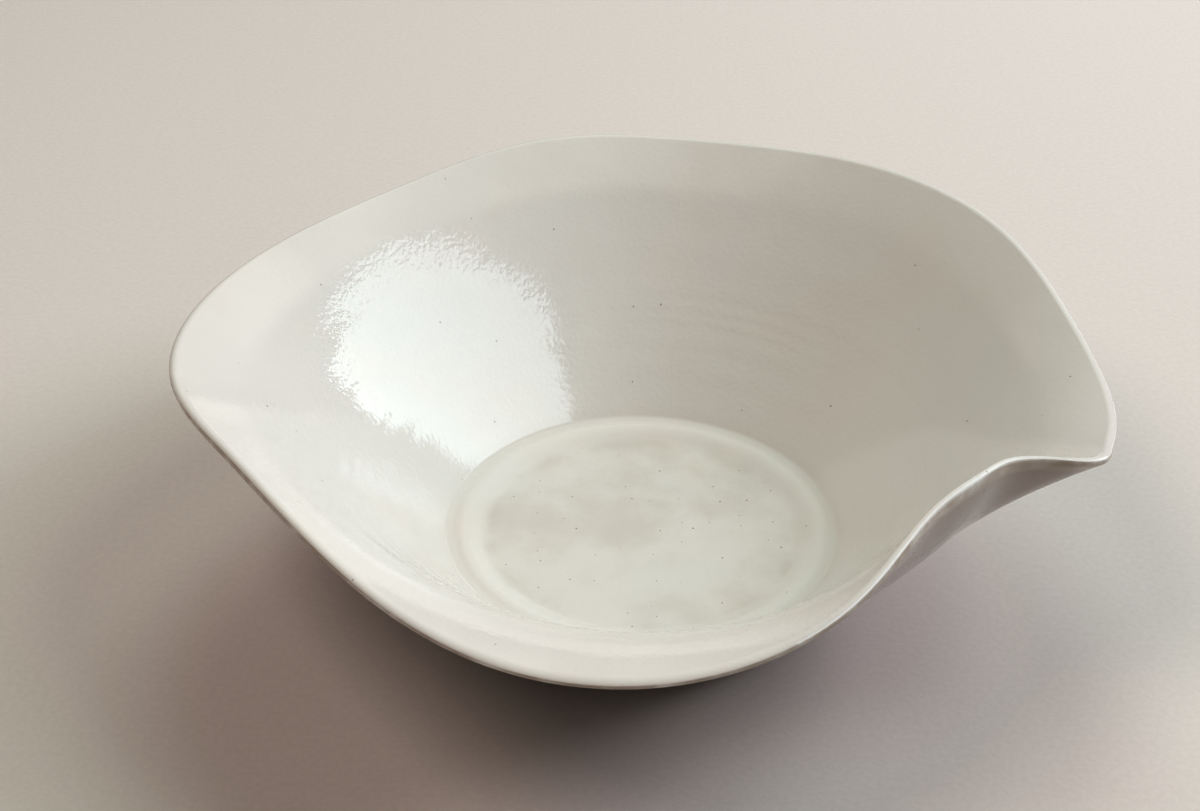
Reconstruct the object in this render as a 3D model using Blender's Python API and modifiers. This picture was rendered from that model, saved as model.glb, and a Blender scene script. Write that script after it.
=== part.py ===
"""Evaporating dish with a pulled pouring lip: a thrown, white glazed bowl on a low foot ring.

Metres, +Z up. The foot ring stands on z = 0. Radii and bearings are taken from the axis that
the dish was thrown on, with 0 degrees at +X and 90 degrees at +Y. The rim is uneven, so the
finished pieces are moved together until the origin is under the middle of their outline.
"""

import math

import bpy
import numpy as np

# Foot ring
FOOT_INSET = 0.0025  # from the edge of the flat underside in to the ring
FOOT_WIDTH = 0.0070
FOOT_HEIGHT = 0.0050
FOOT_DRAFT = 0.0010  # how much narrower each side is at the bottom
FOOT_EDGE = 0.0008
FOOT_SEAT_GAP = 0.0003  # slip joint between the ring and the underside

# Floor and bead
BASE_THICKNESS = 0.0050  # underside to floor
BEAD_RADIUS = 0.0460
BEAD_HEIGHT = 0.0020  # above the floor
BEAD_RAMP = 0.0070  # width of the slope from the floor up to the bead
RAMP_MIDDLE = 0.45  # how far up the bead that slope is at half its width
GROOVE_WIDTH = 0.0040  # bead to the foot of the wall
GROOVE_DEPTH = 0.0007

# Wall, as thrown
RIM_RADIUS = 0.1050
RIM_HEIGHT = 0.0560  # above the bead
WALL_BOW = 0.05  # the wall leaves the floor steeply and flares towards the rim
WALL_AT_RIM = 0.0027
WALL_AT_BASE = 0.0068
FLARE_START = 0.80  # share of the wall above which its inside opens out to the rim
FLARE_SWELL = 0.0012  # how far the inside stands up where the flare starts
HEEL_WIDTH = 0.0033  # rounded corner between the wall and the underside
HEEL_HEIGHT = 0.0020  # least height of that corner

# Hand shaping of the rim: (bearing in degrees, pushed out by, raised by).
# The lip is drawn out from -22 to -4 degrees and pinched in from -52 to -32.
SHAPING = (
    (-172, 0.0065, 0.0000),
    (-150, 0.0010, 0.0025),
    (-128, 0.0035, -0.0005),
    (-106, 0.0105, -0.0065),
    (-86, 0.0105, -0.0065),
    (-68, 0.0025, -0.0010),
    (-52, -0.0090, 0.0040),
    (-40, -0.0095, 0.0050),
    (-32, -0.0045, 0.0030),
    (-27, 0.0050, 0.0005),
    (-22, 0.0065, -0.0020),
    (-15, 0.0060, -0.0040),
    (-4, 0.0040, -0.0050),
    (12, 0.0015, -0.0025),
    (32, 0.0030, 0.0015),
    (56, 0.0020, 0.0025),
    (80, 0.0010, 0.0010),
    (104, 0.0035, 0.0005),
    (128, -0.0005, -0.0020),
    (152, 0.0005, -0.0015),
)
SHAPING_REACH = 3.6  # how quickly the shaping fades from the rim down the wall

# Facets
AROUND = 120
CROWDING_BEARING = -24  # facets are closest together at the corner of the lip
CROWDING = 0.55
UP_THE_WALL = 11
ROUND_EDGE = 4

SEAT_Z = FOOT_HEIGHT + FOOT_SEAT_GAP
FLOOR_Z = SEAT_Z + BASE_THICKNESS
BEAD_Z = FLOOR_Z + BEAD_HEIGHT
WALL_FOOT_RADIUS = BEAD_RADIUS + GROOVE_WIDTH


def clear_scene():
    for obj in list(bpy.data.objects):
        bpy.data.objects.remove(obj, do_unlink=True)


def glaze_white():
    material = bpy.data.materials.new("glaze_white")
    material.use_nodes = True
    shader = material.node_tree.nodes["Principled BSDF"]
    shader.inputs["Base Color"].default_value = (0.76, 0.73, 0.66, 1)
    shader.inputs["Roughness"].default_value = 0.25
    shader.inputs["Metallic"].default_value = 0.0
    return material


def bare_clay():
    material = bpy.data.materials.new("bare_clay")
    material.use_nodes = True
    shader = material.node_tree.nodes["Principled BSDF"]
    shader.inputs["Base Color"].default_value = (0.55, 0.42, 0.30, 1)
    shader.inputs["Roughness"].default_value = 0.85
    shader.inputs["Metallic"].default_value = 0.0
    return material


def wall_point(share):
    """(radius, height) on the wall before it is flared, share 0 at its foot to 1 at the rim."""
    radius = WALL_FOOT_RADIUS + (RIM_RADIUS - WALL_FOOT_RADIUS) * share
    height = BEAD_Z + RIM_HEIGHT * (share + WALL_BOW * share * (1 - share))
    return radius, height


def flare_swell(share):
    """How far the inside of the wall stands up, most where the flare to the rim starts."""
    if share < FLARE_START:
        return FLARE_SWELL * (0.5 - 0.5 * math.cos(math.pi * share / FLARE_START))
    return FLARE_SWELL * math.cos(math.pi / 2 * (share - FLARE_START) / (1 - FLARE_START))


def inner_wall_profile():
    """Inside of the wall, from its foot up to the rim."""
    points = []
    for step in range(UP_THE_WALL + 1):
        share = step / UP_THE_WALL
        radius, height = wall_point(share)
        points.append((radius, height + flare_swell(share)))
    return points


def wall_outward(share):
    """Unit vector in the profile's plane, square to the wall, from its inside to its outside."""
    run = RIM_RADIUS - WALL_FOOT_RADIUS
    rise = RIM_HEIGHT * (1 + WALL_BOW * (1 - 2 * share))
    length = math.hypot(run, rise)
    return rise / length, -run / length


def floor_profile():
    """Floor, bead and groove, from the axis out to just before the foot of the wall."""
    ramp_foot = BEAD_RADIUS - BEAD_RAMP
    points = [(0, FLOOR_Z), (ramp_foot / 2, FLOOR_Z), (ramp_foot, FLOOR_Z)]
    points.append((BEAD_RADIUS - BEAD_RAMP / 2, FLOOR_Z + BEAD_HEIGHT * RAMP_MIDDLE))
    points.append((BEAD_RADIUS, BEAD_Z))
    points.append((BEAD_RADIUS + GROOVE_WIDTH / 2, BEAD_Z - GROOVE_DEPTH))
    return points


def rim_profile():
    """Half circle over the edge of the wall, inside to outside."""
    radius, height = wall_point(1)
    out_r, out_z = wall_outward(1)
    half = WALL_AT_RIM / 2
    centre = radius + out_r * half, height + out_z * half
    points = []
    for step in range(1, ROUND_EDGE):
        turn = math.pi * step / ROUND_EDGE
        across, along = -half * math.cos(turn), half * math.sin(turn)
        points.append((centre[0] + out_r * across - out_z * along,
                       centre[1] + out_z * across + out_r * along))
    return points


def outer_wall_profile():
    """Outside of the wall, from the rim down to the top of the heel."""
    points = []
    for step in range(UP_THE_WALL, -1, -1):
        share = step / UP_THE_WALL
        radius, height = wall_point(share)
        out_r, out_z = wall_outward(share)
        thickness = WALL_AT_BASE + (WALL_AT_RIM - WALL_AT_BASE) * share
        point = radius + out_r * thickness, height + out_z * thickness
        if point[1] > SEAT_Z + HEEL_HEIGHT:
            points.append(point)
    return points


def heel_corner():
    """Radius at which the outside of the wall, carried straight on, meets the underside."""
    (above_r, above_z), (end_r, end_z) = outer_wall_profile()[-2:]
    return end_r - (end_z - SEAT_Z) * (above_r - end_r) / (above_z - end_z)


def underside_radius():
    """Edge of the flat underside, inside the heel."""
    return heel_corner() - HEEL_WIDTH


def foot_radius():
    """Middle of the foot ring, set in from the edge of the underside."""
    return underside_radius() - FOOT_INSET - FOOT_WIDTH / 2


def heel_profile():
    """Rounded corner from the end of the outer wall to the edge of the flat underside."""
    start = outer_wall_profile()[-1]
    corner = heel_corner(), SEAT_Z
    end = underside_radius(), SEAT_Z
    points = []
    for step in range(1, ROUND_EDGE + 1):
        share = step / ROUND_EDGE
        weights = (1 - share) ** 2, 2 * share * (1 - share), share ** 2
        points.append(tuple(sum(w * p[axis] for w, p in zip(weights, (start, corner, end)))
                            for axis in (0, 1)))
    return points


def dish_profile():
    underside = [(foot_radius(), SEAT_Z), (foot_radius() / 2, SEAT_Z), (0, SEAT_Z)]
    return (floor_profile() + inner_wall_profile() + rim_profile() + outer_wall_profile()
            + heel_profile() + underside)


def turned(name, profile, closed=False):
    """A profile of (radius, height) points turned once round the Z axis."""
    mesh = bpy.data.meshes.new(name)
    points = [(radius, 0, height) for radius, height in profile]
    edges = [(index, index + 1) for index in range(len(points) - 1)]
    if closed:
        edges.append((len(points) - 1, 0))
    mesh.from_pydata(points, edges, [])
    obj = bpy.data.objects.new(name, mesh)
    bpy.context.scene.collection.objects.link(obj)
    screw = obj.modifiers.new("turn", "SCREW")
    screw.steps = AROUND
    screw.render_steps = AROUND
    screw.use_merge_vertices = True
    screw.merge_threshold = 0.00001
    graph = bpy.context.evaluated_depsgraph_get()
    result = bpy.data.meshes.new_from_object(obj.evaluated_get(graph))
    result.name = name
    obj.modifiers.clear()
    obj.data = result
    bpy.data.meshes.remove(mesh)
    return obj


def closed_curve(stations, column):
    """Function of bearing in degrees: a smooth closed curve through one column of the stations."""
    knots = np.radians([station[0] for station in stations])
    values = np.array([station[column] for station in stations])
    count = len(knots)
    gaps = np.diff(np.append(knots, knots[0] + math.tau))
    slopes = np.diff(np.append(values, values[0])) / gaps
    matrix = np.zeros((count, count))
    for index in range(count):
        matrix[index, index - 1] = gaps[index - 1] / 6
        matrix[index, index] = (gaps[index - 1] + gaps[index]) / 3
        matrix[index, (index + 1) % count] = gaps[index] / 6
    bends = np.linalg.solve(matrix, slopes - np.roll(slopes, 1))

    def value(bearing):
        turn = (math.radians(bearing) - knots[0]) % math.tau + knots[0]
        at = int(np.searchsorted(knots, turn, side="right")) - 1
        after = (at + 1) % count
        done, left = turn - knots[at], knots[at] + gaps[at] - turn
        cubic = (bends[at] * left ** 3 + bends[after] * done ** 3) / (6 * gaps[at])
        line = (values[at] / gaps[at] - bends[at] * gaps[at] / 6) * left
        line += (values[after] / gaps[at] - bends[after] * gaps[at] / 6) * done
        return cubic + line

    return value


def share_up_wall(radius, height):
    """How far up the wall a point lies, from 0 at its foot to 1 at the rim."""
    run, rise = RIM_RADIUS - WALL_FOOT_RADIUS, RIM_HEIGHT
    along = (radius - WALL_FOOT_RADIUS) * run + (height - BEAD_Z) * rise
    return max(0.0, along / (run * run + rise * rise))


def shape_by_hand(mesh):
    """Crowds the facets towards the lip, then pushes and lifts the wall as SHAPING says."""
    pushed_out = closed_curve(SHAPING, 1)
    raised_by = closed_curve(SHAPING, 2)
    for vertex in mesh.vertices:
        radius = math.hypot(vertex.co.x, vertex.co.y)
        turn = math.atan2(vertex.co.y, vertex.co.x) - math.radians(CROWDING_BEARING)
        turn -= CROWDING * math.sin(turn)
        bearing = math.degrees(turn) + CROWDING_BEARING
        weight = share_up_wall(radius, vertex.co.z) ** SHAPING_REACH
        radius += pushed_out(bearing) * weight
        vertex.co.x = radius * math.cos(math.radians(bearing))
        vertex.co.y = radius * math.sin(math.radians(bearing))
        vertex.co.z += raised_by(bearing) * weight


def build_dish(collection):
    dish = turned("dish", dish_profile())
    shape_by_hand(dish.data)
    finish(dish, collection, glaze_white())
    return dish


def build_foot_ring(collection):
    """Low ring with tapered sides and softened edges, flat on top and underneath."""
    half = FOOT_WIDTH / 2
    bottom = half - FOOT_DRAFT
    soft = FOOT_EDGE * (1 - math.sqrt(0.5))  # middle of the rounded edge
    outline = [
        (half, FOOT_HEIGHT),
        (bottom, FOOT_EDGE),
        (bottom - soft, soft),
        (bottom - FOOT_EDGE, 0),
        (FOOT_EDGE - bottom, 0),
        (soft - bottom, soft),
        (-bottom, FOOT_EDGE),
        (-half, FOOT_HEIGHT),
    ]
    profile = [(foot_radius() + across, height) for across, height in outline]
    ring = turned("foot_ring", profile, closed=True)
    finish(ring, collection, bare_clay())
    return ring


def finish(obj, collection, material):
    obj.data.materials.append(material)
    obj.data.shade_smooth()
    obj.data.set_sharp_from_angle(angle=math.radians(35))
    bpy.context.scene.collection.objects.unlink(obj)
    collection.objects.link(obj)


def centre_on_origin(pieces):
    """Moves the pieces together, so that the origin is under the middle of their outline."""
    points = [vertex.co for piece in pieces for vertex in piece.data.vertices]
    for axis in (0, 1):
        low = min(point[axis] for point in points)
        high = max(point[axis] for point in points)
        for piece in pieces:
            piece.location[axis] = -(low + high) / 2


def main():
    clear_scene()
    collection = bpy.data.collections.new("evaporating_dish")
    bpy.context.scene.collection.children.link(collection)
    centre_on_origin([build_dish(collection), build_foot_ring(collection)])


main()
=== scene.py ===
"""Looks of the evaporating dish: a thrown, white-glazed bowl with a pulled lip on a bare foot ring."""

import math

import bmesh
import bpy
import numpy as np
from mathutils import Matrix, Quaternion, Vector


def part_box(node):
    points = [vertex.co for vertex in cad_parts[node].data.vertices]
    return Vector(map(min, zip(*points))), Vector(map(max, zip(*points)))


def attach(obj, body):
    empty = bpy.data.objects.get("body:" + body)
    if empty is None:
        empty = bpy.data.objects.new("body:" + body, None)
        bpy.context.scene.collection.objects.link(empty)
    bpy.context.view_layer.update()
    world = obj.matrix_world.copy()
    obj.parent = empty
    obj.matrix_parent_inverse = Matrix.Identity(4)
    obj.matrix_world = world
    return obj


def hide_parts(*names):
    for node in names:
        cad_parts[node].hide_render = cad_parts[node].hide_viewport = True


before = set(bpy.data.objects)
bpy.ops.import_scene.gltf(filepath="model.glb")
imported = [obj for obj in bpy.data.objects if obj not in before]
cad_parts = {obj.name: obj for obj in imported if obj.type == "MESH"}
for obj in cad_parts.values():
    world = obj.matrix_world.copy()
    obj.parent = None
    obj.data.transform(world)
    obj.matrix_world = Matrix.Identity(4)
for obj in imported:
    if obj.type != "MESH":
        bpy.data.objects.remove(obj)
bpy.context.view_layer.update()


# ---------------------------------------------------------------------------------------------
# Thrown body
# One piece of stoneware clay, thrown on a wheel: a flat floor with a raised bead round it, a
# flared wall and a round rim. While the clay was soft, hands pushed and pinched the rim and
# drew out a pouring lip. It is dipped in white glaze inside and out.

MILLIMETRE = 0.001
ring_low, ring_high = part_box("foot_ring")
THROWING_AXIS = Vector(((ring_low[0] + ring_high[0]) / 2, (ring_low[1] + ring_high[1]) / 2, 0))

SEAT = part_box("dish")[0][2]  # underside of the body
FLOOR_THICKNESS = 5.0 * MILLIMETRE
FLOOR = SEAT + FLOOR_THICKNESS
BEAD_RADIUS = 46.0 * MILLIMETRE
BEAD_HEIGHT = 2.0 * MILLIMETRE
BEAD_RAMP = 7.0 * MILLIMETRE
BEAD = FLOOR + BEAD_HEIGHT
GROOVE_WIDTH = 4.0 * MILLIMETRE
GROOVE_DEPTH = 0.3 * MILLIMETRE
WALL_FOOT = BEAD_RADIUS + GROOVE_WIDTH
RIM_RADIUS = 105.0 * MILLIMETRE
RIM_HEIGHT = 56.0 * MILLIMETRE
WALL_BOW = 0.05
FLARE_START = 0.80  # share of the wall above which its inside opens out to the rim
FLARE_SWELL = 1.2 * MILLIMETRE  # how far the inside stands up where the flare starts
WALL_AT_RIM = 2.7 * MILLIMETRE
WALL_AT_BASE = 6.8 * MILLIMETRE
HEEL_WIDTH = 3.3 * MILLIMETRE

# Hand shaping of the rim: (bearing in degrees, pushed out by, raised by), in millimetres
SHAPING = (
    (-172, 6.5, 0.0), (-150, 1.0, 2.5), (-128, 3.5, -0.5), (-106, 10.5, -6.5),
    (-86, 10.5, -6.5), (-68, 2.5, -1.0), (-52, -9.0, 4.0), (-40, -9.5, 5.0),
    (-32, -4.5, 3.0), (-27, 5.0, 0.5), (-22, 6.5, -2.0), (-15, 6.0, -4.0),
    (-4, 4.0, -5.0), (12, 1.5, -2.5), (32, 3.0, 1.5), (56, 2.0, 2.5),
    (80, 1.0, 1.0), (104, 3.5, 0.5), (128, -0.5, -2.0), (152, 0.5, -1.5),
)
SHAPING_FADE = 3.6
CORNER_OF_LIP = -24  # bearing where the mesh is finest
CROWDING = 0.55
AROUND = 300

# Rings left inside by the rib and the fingers, each a share up the wall, a half width as a
# share, and how far it stands proud in millimetres
THROWING_RINGS = (
    (0.62, 0.040, 0.080), (0.47, 0.022, 0.050), (0.405, 0.018, 0.045),
    (0.36, 0.014, 0.035), (0.29, 0.025, 0.055), (0.19, 0.030, 0.050),
)

TOUCH_SCALE = 9.0  # noise that varies how hard the rings were pressed
LIGHTEST_TOUCH = 0.25
SWAY_SCALE = 30.0  # noise of the clay's unevenness


def closed_curve(stations, column):
    """Smooth closed curve through one column of the stations, as a function of the bearing."""
    knots = np.radians([station[0] for station in stations])
    values = np.array([station[column] for station in stations]) * MILLIMETRE
    gaps = np.diff(np.append(knots, knots[0] + math.tau))
    slopes = np.diff(np.append(values, values[0])) / gaps
    count = len(knots)
    matrix = np.zeros((count, count))
    for index in range(count):
        matrix[index, index - 1] = gaps[index - 1] / 6
        matrix[index, index] = (gaps[index - 1] + gaps[index]) / 3
        matrix[index, (index + 1) % count] = gaps[index] / 6
    bends = np.linalg.solve(matrix, slopes - np.roll(slopes, 1))

    def value(bearing):
        turn = (bearing - knots[0]) % math.tau + knots[0]
        at = int(np.searchsorted(knots, turn, side="right")) - 1
        after = (at + 1) % count
        done, left = turn - knots[at], knots[at] + gaps[at] - turn
        cubic = (bends[at] * left ** 3 + bends[after] * done ** 3) / (6 * gaps[at])
        line = (values[at] / gaps[at] - bends[at] * gaps[at] / 6) * left
        line += (values[after] / gaps[at] - bends[after] * gaps[at] / 6) * done
        return cubic + line

    return value


def rim_line():
    """The rim as the hands left it, with its points crowded towards the corner of the lip."""
    pushed_out, raised_by = closed_curve(SHAPING, 1), closed_curve(SHAPING, 2)
    corner = math.radians(CORNER_OF_LIP)
    points = []
    for step in range(AROUND):
        turn = math.tau * step / AROUND
        bearing = turn - CROWDING * math.sin(turn) + corner
        radius = RIM_RADIUS + pushed_out(bearing)
        height = BEAD + RIM_HEIGHT + raised_by(bearing)
        points.append((radius * math.cos(bearing), radius * math.sin(bearing), height))
    return points


def smooth_step(value):
    """0 at 0 and 1 at 1, level at both."""
    value = min(1.0, max(0.0, value))
    return value * value * (3 - 2 * value)


def floor_points(count=76):
    """Floor, bead and groove, as (radius, height) from the axis to the foot of the wall."""
    points = []
    for step in range(count):
        radius = WALL_FOOT * step / count
        ramp = smooth_step((radius - BEAD_RADIUS + BEAD_RAMP) / BEAD_RAMP)
        across = min(1, max(0, (radius - BEAD_RADIUS) / GROOVE_WIDTH))
        groove = 0.5 - 0.5 * math.cos(math.tau * across)
        points.append((radius, FLOOR + BEAD_HEIGHT * ramp - GROOVE_DEPTH * groove))
    return points


def wall_inside(share):
    """A point on the inside of the wall without its flare, share 0 at its foot, 1 at the rim."""
    radius = WALL_FOOT + (RIM_RADIUS - WALL_FOOT) * share
    return radius, BEAD + RIM_HEIGHT * (share + WALL_BOW * share * (1 - share))


def flare_swell(share):
    """How far the inside of the wall stands up, most where the flare to the rim starts."""
    if share < FLARE_START:
        return FLARE_SWELL * (0.5 - 0.5 * math.cos(math.pi * share / FLARE_START))
    return FLARE_SWELL * math.cos(math.pi / 2 * (share - FLARE_START) / (1 - FLARE_START))


def wall_points(count=130):
    """Inside of the wall, from its foot up to the rim."""
    points = []
    for step in range(count + 1):
        radius, height = wall_inside(step / count)
        points.append((radius, height + flare_swell(step / count)))
    return points


def wall_outward(share):
    """Unit vector in the section's plane, square to the wall, from its inside to its outside."""
    run = RIM_RADIUS - WALL_FOOT
    rise = RIM_HEIGHT * (1 + WALL_BOW * (1 - 2 * share))
    return rise / math.hypot(run, rise), -run / math.hypot(run, rise)


def rim_points(count=14):
    """Half round from the inside of the rim over to its outside."""
    radius, height = wall_inside(1)
    out_r, out_z = wall_outward(1)
    half = WALL_AT_RIM / 2
    points = []
    for step in range(1, count):
        turn = math.pi * step / count
        across, along = half - half * math.cos(turn), half * math.sin(turn)
        points.append((radius + out_r * across - out_z * along,
                       height + out_z * across + out_r * along))
    return points


def outer_points(count=80):
    """Outside of the wall, from the rim down, thicker towards the base."""
    points = []
    for step in range(count, -1, -1):
        share = step / count
        radius, height = wall_inside(share)
        out_r, out_z = wall_outward(share)
        thickness = WALL_AT_BASE + (WALL_AT_RIM - WALL_AT_BASE) * share
        points.append((radius + out_r * thickness, height + out_z * thickness))
    return points


def heel_points(wall_end, above, count=12):
    """Rounded corner under the wall, then the flat underside to the axis."""
    slope = (above[0] - wall_end[0]) / (above[1] - wall_end[1])
    corner = wall_end[0] - (wall_end[1] - SEAT) * slope
    edge = corner - HEEL_WIDTH
    points = []
    for step in range(1, count + 1):
        share = step / count
        start, middle, end = (1 - share) ** 2, 2 * share * (1 - share), share ** 2
        points.append((start * wall_end[0] + middle * corner + end * edge,
                       start * wall_end[1] + middle * SEAT + end * SEAT))
    points += [(edge * (1 - step / count), SEAT) for step in range(1, count + 1)]
    return points


def ring_marks(share):
    """How far the throwing rings stand proud of the wall there."""
    proud = 0.0
    for middle, half_width, height in THROWING_RINGS:
        near = 1 - min(1.0, abs(share - middle) / (2 * half_width))
        proud += height * MILLIMETRE * smooth_step(near)
    return proud


def section_object(name, points, facts):
    """A section as loose points (radius, 0, height) in order, with facts about each point."""
    mesh = bpy.data.meshes.new(name)
    mesh.from_pydata([(radius, 0, height) for radius, height in points], [], [])
    across, upward = [], []
    for index in range(len(points)):
        before, after = points[max(index - 1, 0)], points[min(index + 1, len(points) - 1)]
        length = math.hypot(after[0] - before[0], after[1] - before[1])
        across.append((before[1] - after[1]) / length)
        upward.append((after[0] - before[0]) / length)
    for fact, values in {"across": across, "upward": upward, **facts}.items():
        layer = mesh.attributes.new(fact, "FLOAT", "POINT")
        layer.data.foreach_set("value", [float(value) for value in values])
    obj = bpy.data.objects.new(name, mesh)
    bpy.context.scene.collection.objects.link(obj)
    return obj


def body_section():
    """The whole section, from the middle of the floor over the rim to the middle underneath."""
    floor, wall, rim, outside = floor_points(), wall_points(), rim_points(), outer_points()
    points = floor + wall + rim + outside + heel_points(outside[-1], outside[-2])
    run, rise = RIM_RADIUS - WALL_FOOT, RIM_HEIGHT
    top = len(floor) + len(wall) + len(rim) // 2
    up_wall, inside, ring = [], [], []
    for index, (radius, height) in enumerate(points):
        along = (radius - WALL_FOOT) * run + (height - BEAD) * rise
        up_wall.append(max(0.0, along / (run * run + rise * rise)))
        inside.append(1.0 if index <= top else 0.0)
        ring.append(ring_marks(up_wall[-1]) if index <= top else 0.0)
    return section_object("body_section", points,
                          {"up_wall": up_wall, "inside": inside, "ring": ring})


class Tree:
    """A Geometry Nodes tree, built node by node."""

    def __init__(self, name):
        self.group = bpy.data.node_groups.new(name, "GeometryNodeTree")
        self.interface = self.group.interface
        self.interface.new_socket("Geometry", in_out="INPUT", socket_type="NodeSocketGeometry")
        self.interface.new_socket("Geometry", in_out="OUTPUT", socket_type="NodeSocketGeometry")
        self.start = self.group.nodes.new("NodeGroupInput")
        self.end = self.group.nodes.new("NodeGroupOutput")

    def size(self, name, kind="NodeSocketFloat"):
        self.interface.new_socket(name, in_out="INPUT", socket_type=kind)
        return self.start.outputs[name]

    def node(self, kind, *wires, **settings):
        """Each wire is an input's name or number, and a value or the output that feeds it."""
        made = self.group.nodes.new(kind)
        for key, value in settings.items():
            setattr(made, key, value)
        for place, value in wires:
            if isinstance(value, bpy.types.NodeSocket):
                self.group.links.new(value, made.inputs[place])
            else:
                made.inputs[place].default_value = value
        return made

    def math(self, operation, first, second=0.0):
        wires = ((0, first), (1, second))
        return self.node("ShaderNodeMath", *wires, operation=operation).outputs[0]

    def plus(self, first, second):
        return self.math("ADD", first, second)

    def minus(self, first, second):
        return self.math("SUBTRACT", first, second)

    def times(self, first, *others):
        for other in others:
            first = self.math("MULTIPLY", first, other)
        return first

    def soft_step(self, value, low, high):
        wires = (("Value", value), ("From Min", low), ("From Max", high))
        return self.node("ShaderNodeMapRange", *wires, interpolation_type="SMOOTHSTEP").outputs[0]

    def point(self, across, along, up):
        return self.node("ShaderNodeCombineXYZ", (0, across), (1, along), (2, up)).outputs[0]

    def parts(self, vector):
        return self.node("ShaderNodeSeparateXYZ", (0, vector)).outputs

    def noise(self, where, seed, scale, detail):
        wires = (("Vector", where), ("W", seed), ("Scale", scale), ("Detail", detail))
        return self.node("ShaderNodeTexNoise", *wires, noise_dimensions="4D").outputs[0]

    def fact(self, geometry, name, index):
        """A fact about one point of the section."""
        value = self.node("GeometryNodeInputNamedAttribute", ("Name", name), data_type="FLOAT")
        wires = (("Geometry", geometry), ("Value", value.outputs[0]), ("Index", index))
        return self.node("GeometryNodeSampleIndex", *wires, data_type="FLOAT").outputs[0]

    def place(self, geometry, index):
        """One point's place, as its three parts."""
        where = self.node("GeometryNodeInputPosition").outputs[0]
        wires = (("Geometry", geometry), ("Value", where), ("Index", index))
        found = self.node("GeometryNodeSampleIndex", *wires, data_type="FLOAT_VECTOR")
        return self.parts(found.outputs[0])

    def keep(self, geometry, name, value):
        wires = (("Geometry", geometry), ("Name", name), ("Value", value))
        return self.node("GeometryNodeStoreNamedAttribute", *wires,
                         data_type="FLOAT", domain="POINT").outputs[0]


def turning_tree():
    """Turns the object's section round the throwing axis, following a rim line.

    A point of the section is pushed and lifted with the rim by its share up the wall raised to
    the power of the fade, and carries the marks of throwing: rings, a swirl and unevenness.
    """
    tree = Tree("turned_clay")
    section = tree.start.outputs["Geometry"]
    rim = tree.size("Rim Line", "NodeSocketObject")
    around = tree.size("Around", "NodeSocketInt")
    along = tree.size("Along", "NodeSocketInt")
    thrown_radius = tree.size("Thrown Radius")
    thrown_height = tree.size("Thrown Height")
    fade = tree.size("Fade")
    swirl_height = tree.size("Swirl Height")
    swirl_pitch = tree.size("Swirl Pitch")
    swirl_radius = tree.size("Swirl Radius")
    unevenness = tree.size("Unevenness")
    seed = tree.size("Seed")
    material = tree.size("Material", "NodeSocketMaterial")

    # A grid with a column for each point of the rim and a row for each point of the section
    rim_geometry = tree.node("GeometryNodeObjectInfo", ("Object", rim)).outputs["Geometry"]
    grid = tree.node("GeometryNodeMeshGrid", ("Vertices X", tree.plus(around, 1)),
                     ("Vertices Y", along)).outputs["Mesh"]
    number = tree.node("GeometryNodeInputIndex").outputs[0]
    column = tree.math("FLOOR", tree.math("DIVIDE", tree.plus(number, 0.5), along))
    row = tree.minus(number, tree.times(column, along))
    column = tree.math("MODULO", column, around)

    # How far each point follows the rim
    rim_x, rim_y, rim_z = tree.place(rim_geometry, column)
    bearing = tree.math("ARCTAN2", rim_y, rim_x)
    rim_radius = tree.math("SQRT", tree.plus(tree.times(rim_x, rim_x), tree.times(rim_y, rim_y)))
    radius, _, height = tree.place(section, row)
    up_wall = tree.fact(section, "up_wall", row)
    inside = tree.fact(section, "inside", row)
    follow = tree.math("POWER", up_wall, fade)
    push = tree.times(tree.minus(rim_radius, thrown_radius), follow)
    lift = tree.times(tree.minus(rim_z, thrown_height), follow)

    # Marks of throwing, square to the section
    cosine, sine = tree.math("COSINE", bearing), tree.math("SINE", bearing)
    spot = tree.point(tree.times(radius, cosine), tree.times(radius, sine), height)
    touch = tree.soft_step(tree.noise(spot, seed, TOUCH_SCALE, 1.0), 0.30, 0.62)
    pressed = tree.plus(LIGHTEST_TOUCH, tree.times(touch, 1 - LIGHTEST_TOUCH))
    ring = tree.times(tree.fact(section, "ring", row), pressed)
    turns = tree.times(tree.math("DIVIDE", radius, swirl_pitch), math.tau)
    swirl = tree.times(tree.math("SINE", tree.minus(bearing, turns)), swirl_height, inside)
    swirl = tree.times(swirl, tree.soft_step(radius, 0.0, tree.times(swirl_radius, 0.3)))
    swirl = tree.times(swirl, tree.soft_step(radius, swirl_radius, tree.times(swirl_radius, 0.6)))
    sway = tree.times(tree.minus(tree.noise(spot, seed, SWAY_SCALE, 2.0), 0.5), unevenness)
    proud = tree.plus(ring, tree.plus(swirl, sway))

    radius = tree.plus(tree.plus(radius, push), tree.times(tree.fact(section, "across", row), proud))
    radius = tree.math("MAXIMUM", radius, 0.0)
    height = tree.plus(tree.plus(height, lift), tree.times(tree.fact(section, "upward", row), proud))
    shaped = tree.point(tree.times(radius, cosine), tree.times(radius, sine), height)
    shaped = tree.node("ShaderNodeVectorMath", (0, shaped), (1, tuple(THROWING_AXIS)),
                       operation="ADD").outputs[0]

    form = tree.keep(tree.keep(grid, "up_wall", up_wall), "inside", inside)
    form = tree.keep(form, "radius", radius)
    form = tree.node("GeometryNodeSetPosition", ("Geometry", form), ("Position", shaped))
    form = tree.node("GeometryNodeMergeByDistance", ("Geometry", form.outputs[0]),
                     ("Distance", 0.02 * MILLIMETRE))
    form = tree.node("GeometryNodeRealizeInstances", ("Geometry", form.outputs[0]))
    form = tree.node("GeometryNodeSetMaterial", ("Geometry", form.outputs[0]),
                     ("Material", material))
    tree.group.links.new(form.outputs[0], tree.end.inputs["Geometry"])
    return tree.group


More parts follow.
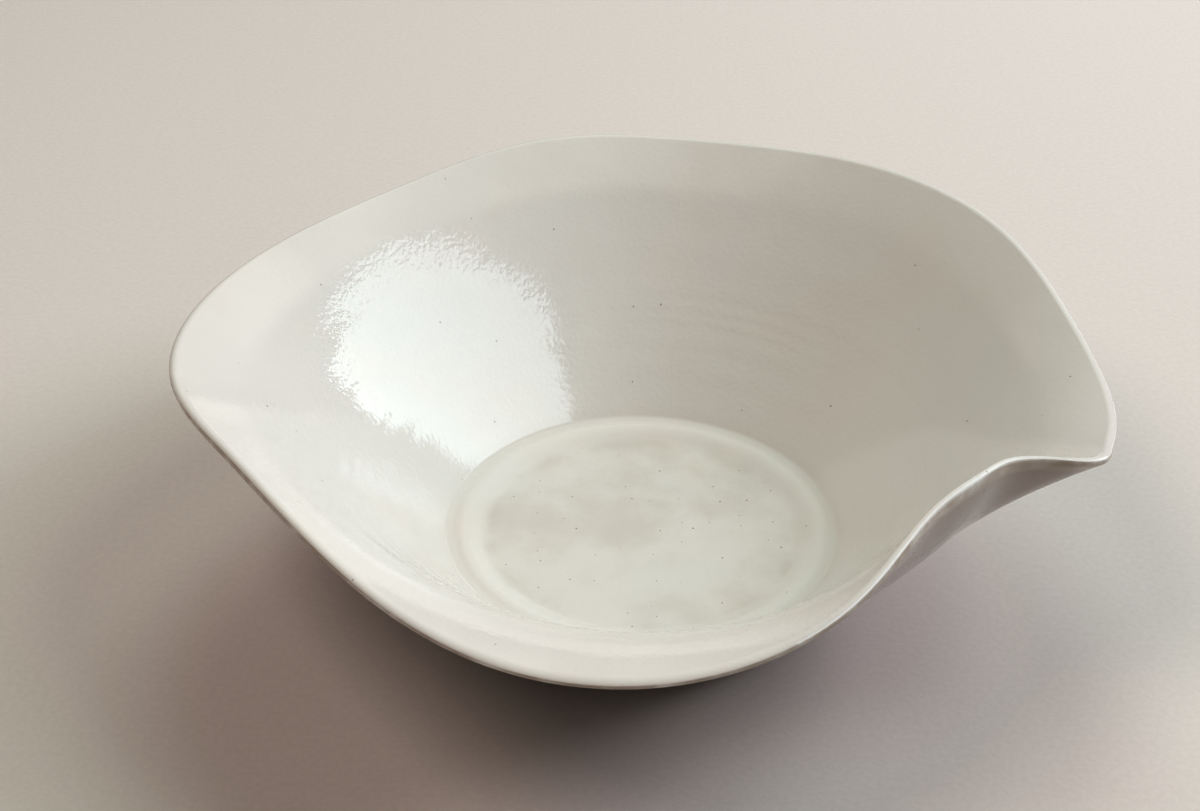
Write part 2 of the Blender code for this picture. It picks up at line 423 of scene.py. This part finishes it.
def turn_on_wheel(name, section, rim, group, sizes):
    """Runs the turning tree on a section and returns the result as a plain mesh object."""
    rim_mesh = bpy.data.meshes.new(name + "_rim_line")
    rim_mesh.from_pydata(rim, [], [])
    rim_object = bpy.data.objects.new(name + "_rim_line", rim_mesh)
    bpy.context.scene.collection.objects.link(rim_object)
    modifier = section.modifiers.new("turning", "NODES")
    modifier.node_group = group
    values = {"Rim Line": rim_object, "Around": len(rim), "Along": len(section.data.vertices)}
    values.update(sizes)
    for item in group.interface.items_tree:
        if item.in_out == "INPUT" and item.name in values:
            modifier[item.identifier] = values[item.name]
    graph = bpy.context.evaluated_depsgraph_get()
    mesh = bpy.data.meshes.new_from_object(section.evaluated_get(graph))
    section.modifiers.clear()
    work = bmesh.new()
    work.from_mesh(mesh)
    bmesh.ops.recalc_face_normals(work, faces=work.faces)
    work.to_mesh(mesh)
    work.free()
    mesh.name = name
    mesh.shade_smooth()
    turned = bpy.data.objects.new(name, mesh)
    bpy.context.scene.collection.objects.link(turned)
    bpy.data.objects.remove(section)
    bpy.data.objects.remove(rim_object)
    return turned


# White glaze: a glossy off-white layer with iron specks and orange peel. It is a little greyer
# where it pooled on the floor, with painted shade in the groove, painted light on the flare,
# painted shade on the outside, and a brown band on the outside of the rim that is partly glaze
# drawn back from the rim and partly painted shade.

GLAZE_WHITE = (0.79, 0.78, 0.74, 1)
# painted light for the flare
GLAZE_PAINTED_LIGHT = (0.86, 0.85, 0.80, 1)
# pooled glaze on the floor, also used for painted shade in the groove
GLAZE_POOLED_AND_SHADE = (0.62, 0.595, 0.54, 1)
GLAZE_COOL = (0.76, 0.765, 0.725, 1)
GLAZE_WARM = (0.79, 0.755, 0.70, 1)
# painted shade for the outside of the wall
GLAZE_OUTSIDE_SHADE = (0.38, 0.32, 0.295, 1)
# partly thin glaze and partly painted shade, for the outside of the rim
GLAZE_THIN_AND_SHADE = (0.42, 0.345, 0.28, 1)
IRON_SPECK = (0.17, 0.11, 0.07, 1)
GLAZE_ROUGHNESS = 0.07
GLAZE_IOR = 1.5
FLANK_WIDTH = 3.0 * MILLIMETRE  # of the foot of the bead's ramp, where the glaze pools too
CLOUD_SIZE = 45.0 * MILLIMETRE
BLUSH_SIZE = 30.0 * MILLIMETRE
PUDDLE_SIZE = 21.0 * MILLIMETRE
BARE_PATCH_SIZE = 7.0 * MILLIMETRE
SPECK_CELL = 7.5 * MILLIMETRE
SPECK_RADIUS = 0.25 * MILLIMETRE
PEEL_SIZE = 1.3 * MILLIMETRE
PEEL_DEPTH = 0.05 * MILLIMETRE
WAVE_SIZE = 9.0 * MILLIMETRE
WAVE_DEPTH = 0.08 * MILLIMETRE

# How strongly each colour shows, from 0 to 1
CLOUDS_SHOW = 0.45
BLUSH_SHOWS = 0.50
POOL_SHOWS = 0.16
PUDDLES_SHOW = 0.36  # added to the pool
# painted shade in the groove
GROOVE_SHADE_SHOWS = 0.12
FLANK_SHOWS = 0.35
# painted light on the flare
FLARE_PAINTED_LIGHT_SHOWS = 0.25
FLARE_LIGHT_CLOUDS_SHOW = 0.50  # added to the flare
# painted shade on the outside
OUTSIDE_SHADE_SHOWS = 0.85
# partly thin glaze and partly painted shade at the outside of the rim
THIN_AND_SHADE_SHOWS = 0.85
SPECKS_SHOW = 0.80
MORE_SPECKS_ON_FLOOR = 0.50


class Finish:
    """A material's nodes, built one by one."""

    def __init__(self, name):
        self.material = bpy.data.materials.new(name)
        self.material.use_nodes = True
        self.nodes = self.material.node_tree.nodes
        self.links = self.material.node_tree.links
        self.shader = self.nodes["Principled BSDF"]
        self.where = self.nodes.new("ShaderNodeTexCoord").outputs["Object"]

    def node(self, kind, *wires, **settings):
        made = self.nodes.new(kind)
        for key, value in settings.items():
            setattr(made, key, value)
        for place, value in wires:
            if isinstance(value, bpy.types.NodeSocket):
                self.links.new(value, made.inputs[place])
            else:
                made.inputs[place].default_value = value
        return made

    def noise(self, size, detail=2.0, roughness=0.5, offset=(0, 0, 0)):
        """Noise whose features are about this size, in metres."""
        moved = self.node("ShaderNodeMapping", ("Vector", self.where), ("Location", offset))
        wires = (("Vector", moved.outputs[0]), ("Scale", 1 / size), ("Detail", detail),
                 ("Roughness", roughness))
        return self.node("ShaderNodeTexNoise", *wires).outputs["Fac"]

    def band(self, value, low, high):
        """0 at low, 1 at high, softly between."""
        wires = (("Value", value), ("From Min", low), ("From Max", high))
        return self.node("ShaderNodeMapRange", *wires, interpolation_type="SMOOTHSTEP").outputs[0]

    def times(self, first, *others):
        for other in others:
            first = self.node("ShaderNodeMath", (0, first), (1, other),
                              operation="MULTIPLY").outputs[0]
        return first

    def plus(self, first, second):
        return self.node("ShaderNodeMath", (0, first), (1, second), operation="ADD").outputs[0]

    def rest(self, value):
        return self.node("ShaderNodeMath", (0, 1.0), (1, value), operation="SUBTRACT").outputs[0]

    def mix(self, share, first, second):
        wires = (("Factor", share), (6, first), (7, second))
        return self.node("ShaderNodeMix", *wires, data_type="RGBA").outputs[2]

    def fact(self, name):
        return self.node("ShaderNodeAttribute", attribute_name=name).outputs["Fac"]

    def bump(self, height, distance, under=None):
        wires = [("Height", height), ("Distance", distance)]
        if under is not None:
            wires.append(("Normal", under))
        return self.node("ShaderNodeBump", *wires).outputs[0]

    def paint(self, name, value):
        if isinstance(value, bpy.types.NodeSocket):
            self.links.new(value, self.shader.inputs[name])
        else:
            self.shader.inputs[name].default_value = value


def white_glaze():
    finish = Finish("white_glaze")
    up_wall, inside, radius = finish.fact("up_wall"), finish.fact("inside"), finish.fact("radius")

    # Cool clouds and a warm blush
    clouds = finish.band(finish.noise(CLOUD_SIZE, 2.0), 0.40, 0.62)
    colour = finish.mix(finish.times(clouds, CLOUDS_SHOW), GLAZE_WHITE, GLAZE_COOL)
    blush = finish.band(finish.noise(BLUSH_SIZE, 3.0, offset=(0.3, 0, 0)), 0.48, 0.72)
    colour = finish.mix(finish.times(blush, BLUSH_SHOWS), colour, GLAZE_WARM)

    # Pooled on the floor and at the foot of the bead's ramp, and painted shade in the groove
    ramp_foot = BEAD_RADIUS - BEAD_RAMP
    on_floor = finish.times(finish.band(radius, BEAD_RADIUS, ramp_foot - FLANK_WIDTH), inside)
    puddles = finish.band(finish.noise(PUDDLE_SIZE, 4.0, 0.55, offset=(0, 0.2, 0)), 0.40, 0.68)
    depth = finish.plus(POOL_SHOWS, finish.times(puddles, PUDDLES_SHOW))
    colour = finish.mix(finish.times(on_floor, depth), colour, GLAZE_POOLED_AND_SHADE)
    # Painted shade in the groove at the foot of the wall
    past_bead = finish.band(radius, BEAD_RADIUS, BEAD_RADIUS + 0.5 * GROOVE_WIDTH)
    groove = finish.times(past_bead, finish.band(up_wall, 0.060, 0.0), inside)
    colour = finish.mix(finish.times(groove, GROOVE_SHADE_SHOWS), colour, GLAZE_POOLED_AND_SHADE)
    flank = finish.band(radius, ramp_foot - FLANK_WIDTH, ramp_foot)
    flank = finish.times(flank, finish.band(radius, ramp_foot + FLANK_WIDTH, ramp_foot), inside)
    colour = finish.mix(finish.times(flank, puddles, FLANK_SHOWS), colour, GLAZE_POOLED_AND_SHADE)

    # Painted light on the flare: the upper wall, which faces up more and catches more light, is painted
    # lighter
    flare = finish.times(finish.band(up_wall, FLARE_START - 0.02, FLARE_START + 0.06), inside)
    flare_light_share = finish.plus(FLARE_PAINTED_LIGHT_SHOWS, finish.times(clouds, FLARE_LIGHT_CLOUDS_SHOW))
    colour = finish.mix(finish.times(flare, flare_light_share), colour, GLAZE_PAINTED_LIGHT)

    # Painted shade on the outside, which faces away from the light; the brown band at the outside of
    # the rim is partly glaze drawn back from the rim and partly painted shade
    outside = finish.rest(inside)
    outside_shade = finish.times(outside, finish.band(up_wall, 1.02, 0.97), OUTSIDE_SHADE_SHOWS)
    colour = finish.mix(outside_shade, colour, GLAZE_OUTSIDE_SHADE)
    # Brown band at the outside of the rim: partly thin glaze, partly painted shade
    rim_thin_and_shade = finish.times(finish.band(up_wall, 0.955, 1.015), outside)
    patchy = finish.band(finish.noise(BARE_PATCH_SIZE, 3.0), 0.15, 0.65)
    colour = finish.mix(finish.times(rim_thin_and_shade, patchy, THIN_AND_SHADE_SHOWS), colour, GLAZE_THIN_AND_SHADE)

    # Iron specks of several sizes, more of them on the floor
    wires = (("Vector", finish.where), ("Scale", 1 / SPECK_CELL))
    cells = finish.node("ShaderNodeTexVoronoi", *wires, voronoi_dimensions="2D")
    chance = finish.node("ShaderNodeSeparateColor", (0, cells.outputs["Color"])).outputs[0]
    near = SPECK_RADIUS / SPECK_CELL
    speck_size = finish.times(finish.plus(0.45, finish.times(chance, chance, 0.75)), near)
    speck = finish.band(cells.outputs["Distance"], speck_size, finish.times(speck_size, 0.5))
    drawn = finish.plus(chance, finish.times(on_floor, MORE_SPECKS_ON_FLOOR))
    speck = finish.times(speck, finish.band(drawn, 0.86, 1.06), SPECKS_SHOW)
    colour = finish.mix(speck, colour, IRON_SPECK)
    finish.paint("Base Color", colour)

    finish.paint("Roughness", GLAZE_ROUGHNESS)
    finish.paint("IOR", GLAZE_IOR)
    peel = finish.bump(finish.noise(PEEL_SIZE, 1.0), PEEL_DEPTH)
    finish.paint("Normal", finish.bump(finish.noise(WAVE_SIZE, 1.0), WAVE_DEPTH, under=peel))
    return finish.material


turned_clay = turning_tree()
dish = turn_on_wheel("dish_body", body_section(), rim_line(), turned_clay, {
    "Thrown Radius": RIM_RADIUS, "Thrown Height": BEAD + RIM_HEIGHT, "Fade": SHAPING_FADE,
    "Swirl Height": 0.10 * MILLIMETRE, "Swirl Pitch": 13.0 * MILLIMETRE,
    "Swirl Radius": 26.0 * MILLIMETRE, "Unevenness": 0.35 * MILLIMETRE, "Seed": 3.0,
    "Material": white_glaze(),
})
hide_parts("dish")
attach(dish, "root")


# ---------------------------------------------------------------------------------------------
# Foot ring
# A coil of the same stoneware, thrown as a ring and joined under the body with slip, which
# leaves a small fillet on both sides. It is left bare so that it doesn't stick to the kiln
# shelf, and it is ground smooth where it stands.

FOOT_WIDTH = 7.0 * MILLIMETRE
FOOT_DRAFT = 1.0 * MILLIMETRE
FOOT_EDGE = 0.8 * MILLIMETRE
SLIP_FILLET = 1.1 * MILLIMETRE
SUNK_IN = 0.05 * MILLIMETRE  # the ring's top goes this far into the body
BARE_CLAY = (0.50, 0.40, 0.30, 1)
BURNT_CLAY = (0.36, 0.26, 0.18, 1)
PALE_GRIT = (0.68, 0.60, 0.50, 1)
CLAY_PATCH_SIZE = 12.0 * MILLIMETRE
SAND_SIZE = 0.7 * MILLIMETRE
SAND_DEPTH = 0.12 * MILLIMETRE
DARK_GRIT_SIZE = 1.1 * MILLIMETRE
BURNT_BAND = 2.2 * MILLIMETRE  # darker clay under the edge of the glaze
WORN_BAND = 0.8 * MILLIMETRE  # ground smooth where it stands
RIB_SCALE = 260.0  # of the fine marks of turning
RIB_DEPTH = 0.03 * MILLIMETRE
FOOT_AROUND = 200


def foot_section():
    """Closed outline of the ring, from its outer top round under it to its inner top and back."""
    middle = (ring_high[0] - ring_low[0]) / 2 - FOOT_WIDTH / 2
    half, bottom = FOOT_WIDTH / 2, FOOT_WIDTH / 2 - FOOT_DRAFT
    side = []
    for step in range(9):  # slip fillet, hollow
        turn = math.pi / 2 * step / 8
        side.append((half + SLIP_FILLET * (1 - math.sin(turn)),
                     SEAT - SLIP_FILLET * (1 - math.cos(turn))))
    for step in range(1, 14):  # tapered side
        share = step / 14
        top_z = SEAT - SLIP_FILLET
        side.append((half + (bottom - half) * share, top_z + (FOOT_EDGE - top_z) * share))
    for step in range(9):  # rounded edge
        turn = math.pi / 2 * step / 8
        side.append((bottom - FOOT_EDGE * (1 - math.cos(turn)), FOOT_EDGE * (1 - math.sin(turn))))
    flat = [((bottom - FOOT_EDGE) * (1 - step / 6), 0.0) for step in range(1, 6)]
    outer = [(half + SLIP_FILLET, SEAT + SUNK_IN)] + side + flat
    inner = [(-across, up) for across, up in reversed(outer)]
    outline = outer + [(0.0, 0.0)] + inner + [outer[0]]
    points = [(middle + across, up) for across, up in outline]
    zeros = [0.0] * len(points)
    return section_object("foot_section", points,
                          {"up_wall": zeros, "inside": zeros, "ring": zeros})


def bare_clay():
    finish = Finish("bare_clay")
    height = finish.node("ShaderNodeSeparateXYZ", (0, finish.where)).outputs[2]
    body = finish.band(finish.noise(CLAY_PATCH_SIZE, 3.0), 0.3, 0.7)
    colour = finish.mix(body, BARE_CLAY, BURNT_CLAY)
    near_glaze = finish.band(height, ring_high[2] - BURNT_BAND, ring_high[2])
    colour = finish.mix(finish.times(near_glaze, 0.55), colour, BURNT_CLAY)
    sand = finish.noise(SAND_SIZE, 2.0, 0.7)
    colour = finish.mix(finish.times(finish.band(sand, 0.56, 0.70), 0.6), colour, PALE_GRIT)
    grit = finish.noise(DARK_GRIT_SIZE, 1.0, offset=(0.1, 0, 0))
    colour = finish.mix(finish.times(finish.band(grit, 0.36, 0.26), 0.6), colour, IRON_SPECK)
    finish.paint("Base Color", colour)
    worn = finish.band(height, WORN_BAND, 0.0)
    finish.paint("Roughness", finish.plus(0.92, finish.times(worn, -0.22)))
    rib = finish.node("ShaderNodeTexWave", ("Vector", finish.where), ("Scale", RIB_SCALE),
                      ("Distortion", 1.5), bands_direction="Z").outputs["Fac"]
    marks = finish.bump(rib, RIB_DEPTH)
    finish.paint("Normal", finish.bump(sand, SAND_DEPTH, under=marks))
    return finish.material


foot_turns = [math.tau * step / FOOT_AROUND for step in range(FOOT_AROUND)]
foot_rim = [(math.cos(turn), math.sin(turn), 0) for turn in foot_turns]
foot = turn_on_wheel("foot_ring_of_clay", foot_section(), foot_rim, turned_clay, {
    "Thrown Radius": 1.0, "Thrown Height": 0.0, "Fade": 1.0, "Swirl Height": 0.0,
    "Swirl Pitch": 1.0, "Swirl Radius": 1.0, "Unevenness": 0.0, "Seed": 7.0,
    "Material": bare_clay(),
})
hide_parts("foot_ring")
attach(foot, "root")


# ---------------------------------------------------------------------------------------------
# Paper, lights and camera
# A plain sheet of pale paper with a fine tooth. Soft panels stand well out of view: a tall
# window on the right, a low and a high panel behind, and one high at the front left.

PAPER = (0.762, 0.729, 0.686, 1)
PAPER_SIZE = 6.0
PAPER_TOOTH = 1.6 * MILLIMETRE
TOOTH_DEPTH = 0.05 * MILLIMETRE


def paper():
    finish = Finish("pale_paper")
    tooth = finish.noise(PAPER_TOOTH, 3.0, 0.6)
    hollows = tuple(0.96 * value for value in PAPER[:3]) + (1,)
    finish.paint("Base Color", finish.mix(finish.band(tooth, 0.3, 0.7), hollows, PAPER))
    finish.paint("Roughness", 0.9)
    finish.paint("Normal", finish.bump(tooth, TOOTH_DEPTH))
    return finish.material


def flat_sheet(name, corners, material):
    mesh = bpy.data.meshes.new(name)
    mesh.from_pydata([tuple(corner) for corner in corners], [], [range(len(corners))])
    mesh.materials.append(material)
    sheet = bpy.data.objects.new(name, mesh)
    bpy.context.scene.collection.objects.link(sheet)
    return sheet


half = PAPER_SIZE / 2
flat_sheet("paper_floor", [(-half, -half, 0), (half, -half, 0), (half, half, 0), (-half, half, 0)],
           paper())

# Name, bearing and elevation in degrees, distance and size in metres, watts, colour
PANELS = (
    ("window", 4, 36, 1.9, 0.8, 17.0, (0.91, 0.90, 1.0)),
    ("window_top", 4, 58, 1.6, 0.7, 5.6, (0.84, 1.0, 0.92)),
    ("behind_low", 60, 16, 1.3, 0.6, 4.0, (1.0, 0.76, 0.87)),
    ("behind_high", 90, 58, 1.3, 0.6, 3.9, (0.82, 1.0, 0.93)),
    ("left_above", -150, 58, 1.3, 0.6, 5.4, (1.0, 0.85, 0.80)),
)
LIT_POINT = THROWING_AXIS + Vector((0, 0.05, 0.02))  # every panel faces it

for name, bearing, elevation, distance, size, watts, colour in PANELS:
    light = bpy.data.lights.new(name, "AREA")
    light.shape = "DISK"
    light.size = size
    light.energy = watts
    light.color = colour
    turn_to, tip = math.radians(bearing), math.radians(elevation)
    away = Vector((math.cos(tip) * math.cos(turn_to), math.cos(tip) * math.sin(turn_to), math.sin(tip)))
    panel = bpy.data.objects.new(name, light)
    panel.location = LIT_POINT + distance * away
    panel.rotation_mode = "QUATERNION"
    panel.rotation_quaternion = (-away).to_track_quat("-Z", "Y")
    panel.visible_glossy = False
    bpy.context.scene.collection.objects.link(panel)

# The bright card that the glaze mirrors on the left of the wall. It shows only in reflections.
CARD_FROM = THROWING_AXIS + Vector((-0.075, 0.03, 0.04))  # the point of the wall it faces
CARD_DISTANCE = 1.5
CARD_BEARING = -20
CARD_EDGES = (-0.62, 2.78)  # its two upright edges, measured along it from the point it faces
CARD_TOP = (2.07, 1.07)  # how high each edge reaches above that point
CARD_BOTTOM = 0.12
CARD_GLOW = 4.2
CARD_COLOUR = (0.82, 0.94, 1.0, 1)

glow = bpy.data.materials.new("bright_card")
glow.use_nodes = True
emission = glow.node_tree.nodes.new("ShaderNodeEmission")
emission.inputs["Strength"].default_value = CARD_GLOW
emission.inputs["Color"].default_value = CARD_COLOUR
output = glow.node_tree.nodes["Material Output"]
glow.node_tree.links.new(emission.outputs[0], output.inputs["Surface"])
facing = math.radians(CARD_BEARING)
card_away = Vector((math.cos(facing), math.sin(facing), 0))
card_along = Vector((-math.sin(facing), math.cos(facing), 0))
card_corners = (
    (CARD_EDGES[0], CARD_TOP[0]), (CARD_EDGES[1], CARD_TOP[1]),
    (CARD_EDGES[1], CARD_BOTTOM), (CARD_EDGES[0], CARD_BOTTOM),
)
card = flat_sheet("bright_card", [
    CARD_FROM + CARD_DISTANCE * card_away + across * card_along + Vector((0, 0, up))
    for across, up in card_corners
], glow)
card.visible_camera = False
card.visible_diffuse = False
card.visible_shadow = False

ROOM_COLOUR = (1.0, 0.88, 0.82, 1)
ROOM_STRENGTH = 0.14

world = bpy.data.worlds.new("soft_room")
bpy.context.scene.world = world
world.use_nodes = True
background = world.node_tree.nodes["Background"]
background.inputs["Color"].default_value = ROOM_COLOUR
background.inputs["Strength"].default_value = ROOM_STRENGTH

CAMERA_DISTANCE = 0.600
CAMERA_ELEVATION = 33.345
CAMERA_ROLL = 0.49
CAMERA_LENS = 64.575  # on a sensor 36 mm wide
CAMERA_TARGET = THROWING_AXIS + Vector((-0.01073, 0.05557, BEAD))

camera_data = bpy.data.cameras.new("camera")
camera_data.sensor_width = 36
camera_data.lens = CAMERA_LENS
camera_data.clip_start = 0.01
camera = bpy.data.objects.new("camera", camera_data)
bpy.context.scene.collection.objects.link(camera)
downward = math.radians(CAMERA_ELEVATION)
back = Vector((0, -math.cos(downward), math.sin(downward)))
camera.rotation_mode = "QUATERNION"
camera.location = CAMERA_TARGET + back * CAMERA_DISTANCE
roll = Quaternion((0, 0, 1), math.radians(CAMERA_ROLL))
camera.rotation_quaternion = (-back).to_track_quat("-Z", "Y") @ roll
bpy.context.scene.camera = camera
bpy.context.scene.view_settings.view_transform = "Standard"
bpy.context.scene.view_settings.gamma = 0.7
